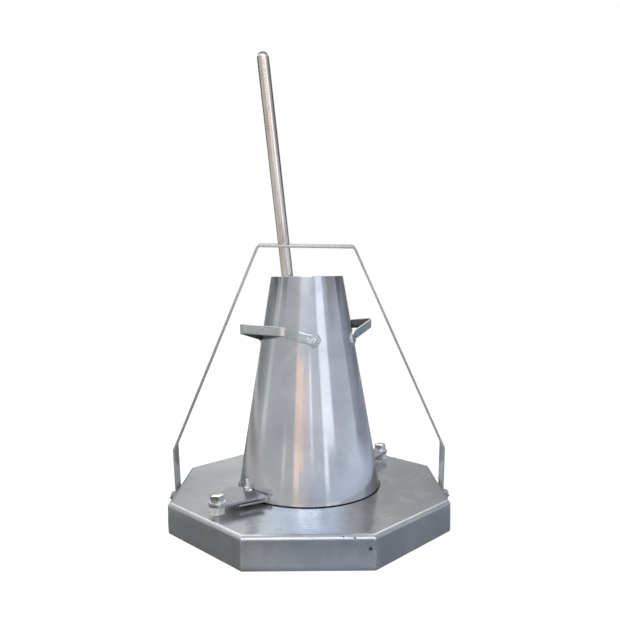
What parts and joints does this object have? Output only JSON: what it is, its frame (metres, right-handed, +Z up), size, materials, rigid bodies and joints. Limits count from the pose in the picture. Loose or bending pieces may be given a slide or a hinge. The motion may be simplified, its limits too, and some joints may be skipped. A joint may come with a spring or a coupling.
{
  "type": "slump cone",
  "caption": "Open test cone with side handles, clamped to an octagonal base tray with a folding carrying bail, with a round-ended tamping rod standing in it.",
  "frame": {"origin": "middle of the base tray's lower edge, on the surface that the set stands on", "axes": "+Z up along the cone's axis, +X to the right through the bail's pivots, -Y towards the viewer"},
  "size_m": [0.4068, 0.3768, 0.6358],
  "materials": {
    "paint": "glossy silver-grey enamel",
    "zinc": "bright zinc plate",
    "rod_steel": "drawn bright steel"
  },
  "bodies": {
    "base": {"base_tray": "paint", "corner_welds": "paint", "spacer_nuts": "zinc", "bail_bolts": "zinc", "bail_inner_washers": "zinc", "bail_outer_washers": "zinc", "bail_nuts": "zinc"},
    "bail": {"bail_strap": "paint"},
    "cone": {"cone_shell": "paint", "cone_seam": "paint", "handle_left": "paint", "handle_right": "paint", "handle_welds": "paint", "foot_tab_left": "paint", "foot_tab_right": "paint", "foot_tab_welds": "paint"},
    "rod": {"tamping_rod": "rod_steel"},
    "clamp_left": {"clamp_plate_left": "paint", "pivot_bolt_left": "zinc", "flat_washer_left": "zinc", "spring_washer_left": "zinc"},
    "clamp_right": {"clamp_plate_right": "paint", "pivot_bolt_right": "zinc", "flat_washer_right": "zinc", "spring_washer_right": "zinc"},
    "screw_left": {"clamp_screw_left": "zinc", "lock_nut_left": "zinc"},
    "screw_right": {"clamp_screw_right": "zinc", "lock_nut_right": "zinc"}
  },
  "joints": [
    {"name": "bail_swing", "type": "hinge", "parent": "base", "child": "bail", "pos_m": [0, 0, 0.0225], "axis": [1, 0, 0], "range_deg": [0, 81.5]},
    {"name": "cone_lift", "type": "slide", "parent": "base", "child": "cone", "axis": [0, 0, 1], "range_m": [0, 0.035]},
    {"name": "rod_draw", "type": "slide", "parent": "cone", "child": "rod", "axis": [-0.0937, -0.1076, 0.9898], "range_m": [0, 0.36]},
    {"name": "clamp_left_swing", "type": "hinge", "parent": "cone", "child": "clamp_left", "pos_m": [-0.11593, -0.11593, 0.0534], "axis": [0, 0, -1], "range_deg": [0, 100]},
    {"name": "clamp_right_swing", "type": "hinge", "parent": "cone", "child": "clamp_right", "pos_m": [0.11593, 0.11593, 0.0534], "axis": [0, 0, -1], "range_deg": [0, 100]},
    {"name": "screw_left_back", "type": "slide", "parent": "clamp_left", "child": "screw_left", "axis": [0, 0, 1], "range_m": [0, 0.005]},
    {"name": "screw_right_back", "type": "slide", "parent": "clamp_right", "child": "screw_right", "axis": [0, 0, 1], "range_m": [0, 0.005]}
  ]
}
